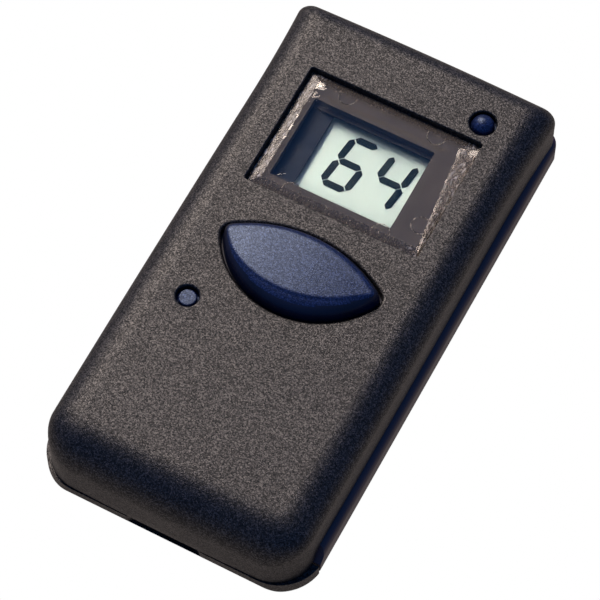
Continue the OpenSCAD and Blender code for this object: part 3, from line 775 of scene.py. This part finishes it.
def frosted_cut(name):
    """Rough-cut edge of clear acrylic: brownish, with bright frosted chips towards the left and right sides.
    The chips are real frosting, but keeping them white only at the sides, where light catches the bevel, is
    painted highlight.
    """
    s = Shader(name)
    chips = s.noise(0.4, 3.0, 0.7, (1, 0.3, 1))
    split = s.nodes.new("ShaderNodeSeparateXYZ")
    s.links.new(s.place, split.inputs["Vector"])
    across = s.maths("ABSOLUTE", split.outputs["X"])
    # Whiter only towards the left and right sides: frosted chips, plus painted highlight where light catches
    # the bevel
    lit_sides = s.span(across, 0.0, 1.0, FROST_HIGHLIGHT_FROM_X * MM, FROST_HIGHLIGHT_X * MM)
    frost_and_highlight = s.maths("MULTIPLY", lit_sides, s.span(chips, 0.0, 1.0, 0.56, 0.62))
    s.feed("Base Color", s.ramp(frost_and_highlight, [(0.0, (0.2, 0.18, 0.165)), (1.0, (0.75, 0.72, 0.7))]))
    s.feed("Roughness", s.span(chips, 0.12, 0.4))
    s.feed("Transmission Weight", s.span(frost_and_highlight, 0.85, 0.4, 0.0, 1.0))
    s.feed("Normal", s.bump(chips, 0.12))
    s.set(IOR=1.49)
    lets_lamps_through(s, (0.9, 0.9, 0.89))
    return s.material


def metal(name, colour, rough, brushed=(1, 1, 1)):
    """Bare metal with fine streaks, squeezed by brushed along the axes."""
    s = Shader(name)
    streaks = s.noise(0.6, 4.0, 0.6, brushed)
    s.feed("Base Color", s.ramp(streaks, [(0.3, mixed(colour, (0, 0, 0), 0.15)), (0.7, colour)]))
    s.feed("Roughness", s.span(streaks, *rough))
    s.feed("Normal", s.bump(streaks, 0.003))
    s.set(Metallic=1.0)
    return s.material


def circuit_green(name):
    """Green solder mask over woven glass."""
    s = Shader(name)
    weave = s.noise(0.5, 3.0, 0.5)
    broad = s.noise(7.0, 2.0, 0.5)
    s.feed("Base Color", s.ramp(broad, [(0.4, (0.01, 0.09, 0.04)), (0.6, (0.02, 0.16, 0.07))]))
    s.feed("Roughness", s.span(weave, 0.25, 0.4))
    s.feed("Normal", s.bump(weave, 0.004))
    return s.material


# satin_plastic takes a name, a dark colour, a light colour and a range of roughness
MATERIALS = {
    "shell": textured_plastic(
        "shell_plastic",
        dark=(0.002, 0.003, 0.004),
        light=(0.024, 0.018, 0.016),
        cell_mm=0.19,
        depth_mm=0.08,
        rough=(0.4, 0.45),
        sheen=(0.14, 0.46, 1.0),
    ),
    "back": satin_plastic(
        "back_plastic", (0.034, 0.018, 0.03), (0.046, 0.026, 0.04), (0.38, 0.46), grain_mm=0.3, depth_mm=0.006
    ),
    "key": textured_plastic(
        "key_plastic",
        dark=(0.003, 0.007, 0.03),
        light=(0.012, 0.024, 0.1),
        cell_mm=0.19,
        depth_mm=0.05,
        rough=(0.36, 0.42),
        sheen=(0.4, 0.75, 1.0),
        tint=(0.55, 0.71, 1.0),
    ),
    # Darker copy of the button's plastic for its skirt: smooth, and painted shade where the skirt turns away
    # from the lamp
    "shaded_key_skirt": satin_plastic(
        "painted_shade_skirt_plastic",
        (0.002, 0.004, 0.014),
        (0.004, 0.008, 0.03),
        (0.4, 0.46),
        grain_mm=0.3,
        specular=0.35,
    ),
    "lens": clear_plastic(
        "clear_acrylic", tint=(0.97, 0.98, 0.98), rough=(0.0, 0.03), ior=1.49, wave_mm=4.0, depth_mm=0.01
    ),
    "lens_cut": frosted_cut("cut_acrylic"),
    "glass": thin_glass("display_glass", (0.01, 0.02, 0.02), 0.03),
    "polariser": thin_glass("polarising_film", (0.01, 0.02, 0.02), 0.08),
    # The mask card's own colour; the same material on the shell's ledge under the lens is painted shade
    "mask": satin_plastic("mask_card_and_ledge_shade", (0.033, 0.028, 0.024), (0.04, 0.034, 0.029), (0.6, 0.75), specular=0.1),
    "black": satin_plastic(
        "frame_plastic", (0.004, 0.008, 0.016), (0.006, 0.011, 0.022), (0.6, 0.7), specular=0.12
    ),
    "seal": satin_plastic("seal_resin", (0.28, 0.32, 0.3), (0.33, 0.37, 0.35), (0.4, 0.5)),
    "bars": satin_plastic("display_bars", (0.012, 0.024, 0.02), (0.02, 0.034, 0.028), (0.7, 0.8), specular=0.1),
    "reflector": satin_plastic(
        "display_reflector",
        (0.74, 0.94, 0.85),
        (0.78, 0.98, 0.89),
        (0.42, 0.46),
        grain_mm=0.12,
        depth_mm=0.002,
        specular=1.0,
        metallic=0.62,
    ),
    "rubber": satin_plastic("contact_rubber", (0.08, 0.08, 0.09), (0.11, 0.11, 0.12), (0.6, 0.7)),
    "board": circuit_green("circuit_board"),
    "epoxy": satin_plastic("black_epoxy", (0.006, 0.006, 0.006), (0.012, 0.012, 0.012), (0.2, 0.3)),
    "ceramic": satin_plastic("tan_ceramic", (0.4, 0.3, 0.18), (0.5, 0.4, 0.25), (0.4, 0.5)),
    "capacitor": satin_plastic("capacitor_sleeve", (0.01, 0.015, 0.05), (0.015, 0.02, 0.07), (0.3, 0.4)),
    "piezo": satin_plastic("silvered_ceramic", (0.6, 0.58, 0.52), (0.75, 0.72, 0.66), (0.35, 0.5)),
    "wire": satin_plastic("wire_sleeve", (0.3, 0.01, 0.01), (0.36, 0.02, 0.02), (0.35, 0.45)),
    "dome": satin_plastic("dome_silicone", (0.5, 0.49, 0.45), (0.58, 0.57, 0.52), (0.5, 0.6)),
    "label": satin_plastic("cell_sleeve", (0.45, 0.17, 0.02), (0.55, 0.22, 0.03), (0.2, 0.3)),
    "steel": metal("plated_steel", (0.62, 0.61, 0.6), (0.22, 0.38)),
    "brass": metal("rolled_brass", (0.72, 0.5, 0.2), (0.25, 0.4), (1, 8, 1)),
}

# Look of each CAD node that is shown as it is
CAD_LOOKS = {
    "back_shell": "back",
    "battery_door": "shell",
    "display_mask": "mask",
    "display_frame": "black",
    "lcd_polariser": "polariser",
    "lcd_front_glass": "glass",
    "lcd_seal": "seal",
    "lcd_bars": "bars",
    "lcd_rear_glass": "reflector",
    "lcd_reflector": "reflector",
    "contact_strips": "rubber",
    "circuit_board": "board",
    "chip_cap": "epoxy",
    "crystal": "steel",
    "ceramic_capacitors": "ceramic",
    "storage_capacitor": "capacitor",
    "resistors": "epoxy",
    "piezo_disc": "brass",
    "piezo_ceramic": "piezo",
    "lead_wires": "wire",
    "reset_button": "key",
    "mode_button": "key",
    "main_dome": "dome",
    "reset_dome": "dome",
    "mode_dome": "dome",
    "cell_cans": "steel",
    "cell_sleeves": "label",
    "contact_plus": "steel",
    "contact_minus": "steel",
    "contact_bridge": "steel",
    "case_screws": "steel",
    "board_screws": "steel",
}


def paint(obj, look):
    """Gives obj one of the materials in place of its own."""
    obj.data.materials.clear()
    obj.data.materials.append(MATERIALS[look])


def paint_faces(obj, look, chosen):
    """Gives a second material to the faces for which chosen(face) is true."""
    obj.data.materials.append(MATERIALS[look])
    for face in obj.data.polygons:
        if chosen(face):
            face.material_index = 1


def ledge_shade_faces(face):
    """True for the front shell's faces under the lens and down to the mask, which get the mask card's duller
    material as painted shade in the recess.
    """
    x, y, z = np.array(face.center) / MM
    return within_window(x, y) and LEDGE_Z < z < LENS_FLOOR_Z + 0.01


def dress():
    """Builds the detailed pieces and gives every piece its material."""
    for node, look in CAD_LOOKS.items():
        paint(frame["nodes"][node], look)
    shell, key, lens, marks = front_shell(), main_button(), window_lens(), lens_marks()
    for obj, look in ((shell, "shell"), (key, "key"), (lens, "lens"), (marks, "lens_cut")):
        paint(obj, look)
    # The ledge under the lens is the shell's own plastic; the mask card's duller, darker look on it is painted
    # shade
    paint_faces(shell, "mask", ledge_shade_faces)
    # The skirt gets the darker, smooth copy of the button's plastic as painted shade
    paint_faces(key, "shaded_key_skirt", lambda face: face.center.z < KEY_GRAIN_AND_SHADE_FROM_Z * MM)
    paint_faces(lens, "lens_cut", lambda face: CUT_NORMAL_Z[0] < face.normal.z < CUT_NORMAL_Z[1])
    for obj, node, body, slot in (
        (shell, "front_shell", "case", "shell"),
        (key, "main_button", "main_key", "key"),
        (lens, "window_lens", "case", "clear"),
        (marks, "window_lens", "case", "clear"),
    ):
        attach(obj, body)
        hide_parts(node)


# ---------------------------------------------------------------- stage, light, camera


def look_back(azimuth, elevation):
    """Direction from what is looked at back to a camera or a lamp, azimuth counted from the battery end."""
    a, e = math.radians(azimuth), math.radians(elevation)
    return Vector((math.sin(a) * math.cos(e), -math.cos(a) * math.cos(e), math.sin(e)))


def place_facing(name, data, back, location):
    """Adds a camera or lamp at location that faces against back."""
    obj = bpy.data.objects.new(name, data)
    bpy.context.scene.collection.objects.link(obj)
    obj.location = location
    obj.rotation_mode = "QUATERNION"
    obj.rotation_quaternion = (-back).to_track_quat("-Z", "Y")
    return obj


def camera():
    """Long lens at the photo's viewpoint."""
    data = bpy.data.cameras.new("camera")
    data.lens = CAMERA_LENS
    data.sensor_width = 36
    data.clip_start, data.clip_end = 0.01, 20
    back = look_back(CAMERA_AZIMUTH, CAMERA_ELEVATION)
    location = (Vector(CAMERA_AIM) + back * CAMERA_DISTANCE) * MM
    bpy.context.scene.camera = place_facing("camera", data, back, location)


def lamp():
    """Soft lamp beyond the display end, to its left, which faces the middle of the case."""
    data = bpy.data.lights.new("key_lamp", "AREA")
    data.shape = "RECTANGLE"
    data.size = data.size_y = LAMP_SIZE
    data.energy = LAMP_POWER
    data.color = LAMP_COLOUR
    back = look_back(LAMP_AZIMUTH, LAMP_ELEVATION)
    place_facing("key_lamp", data, back, back * LAMP_DISTANCE)


def seen_only(nodes, links, seen, unseen, target):
    """Joins two shaders: seen for the camera's own rays, unseen for all the others."""
    path = nodes.new("ShaderNodeLightPath")
    mix = nodes.new("ShaderNodeMixShader")
    links.new(path.outputs["Is Camera Ray"], mix.inputs["Fac"])
    links.new(unseen, mix.inputs[1])
    links.new(seen, mix.inputs[2])
    links.new(mix.outputs["Shader"], target)


def floor():
    """White to the camera, and a dim bounce on the case's sides."""
    half, z = FLOOR_HALF_M, FLOOR_Z * MM
    mesh = bpy.data.meshes.new("floor")
    corners = [(-half, -half, z), (half, -half, z), (half, half, z), (-half, half, z)]
    mesh.from_pydata(corners, [], [(0, 1, 2, 3)])
    obj = bpy.data.objects.new("floor", mesh)
    bpy.context.scene.collection.objects.link(obj)
    s = Shader("floor_paper")
    s.set(Base_Color=(0.02, 0.02, 0.02, 1), Roughness=0.9)
    s.set(Emission_Color=(*BOUNCE_COLOUR, 1), Emission_Strength=BOUNCE_STRENGTH)
    glow = s.nodes.new("ShaderNodeEmission")
    glow.inputs["Color"].default_value = (1, 1, 1, 1)
    glow.inputs["Strength"].default_value = 1.0
    seen_only(s.nodes, s.links, glow.outputs["Emission"], s.main.outputs["BSDF"], s.output.inputs["Surface"])
    obj.data.materials.append(s.material)


def world():
    """White backdrop to the camera, dim room in the reflections."""
    made = bpy.data.worlds.new("room")
    made.use_nodes = True
    nodes, links = made.node_tree.nodes, made.node_tree.links
    room = nodes["Background"]
    room.inputs["Color"].default_value = (*ROOM_COLOUR, 1)
    room.inputs["Strength"].default_value = ROOM_STRENGTH
    backdrop = nodes.new("ShaderNodeBackground")
    backdrop.inputs["Color"].default_value = (1, 1, 1, 1)
    target = nodes["World Output"].inputs["Surface"]
    seen_only(nodes, links, backdrop.outputs["Background"], room.outputs["Background"], target)
    bpy.context.scene.world = made


def studio():
    """Camera, floor, backdrop and lamp."""
    camera()
    floor()
    world()
    lamp()
    bpy.context.scene.view_settings.view_transform = "Standard"


dress()
studio()
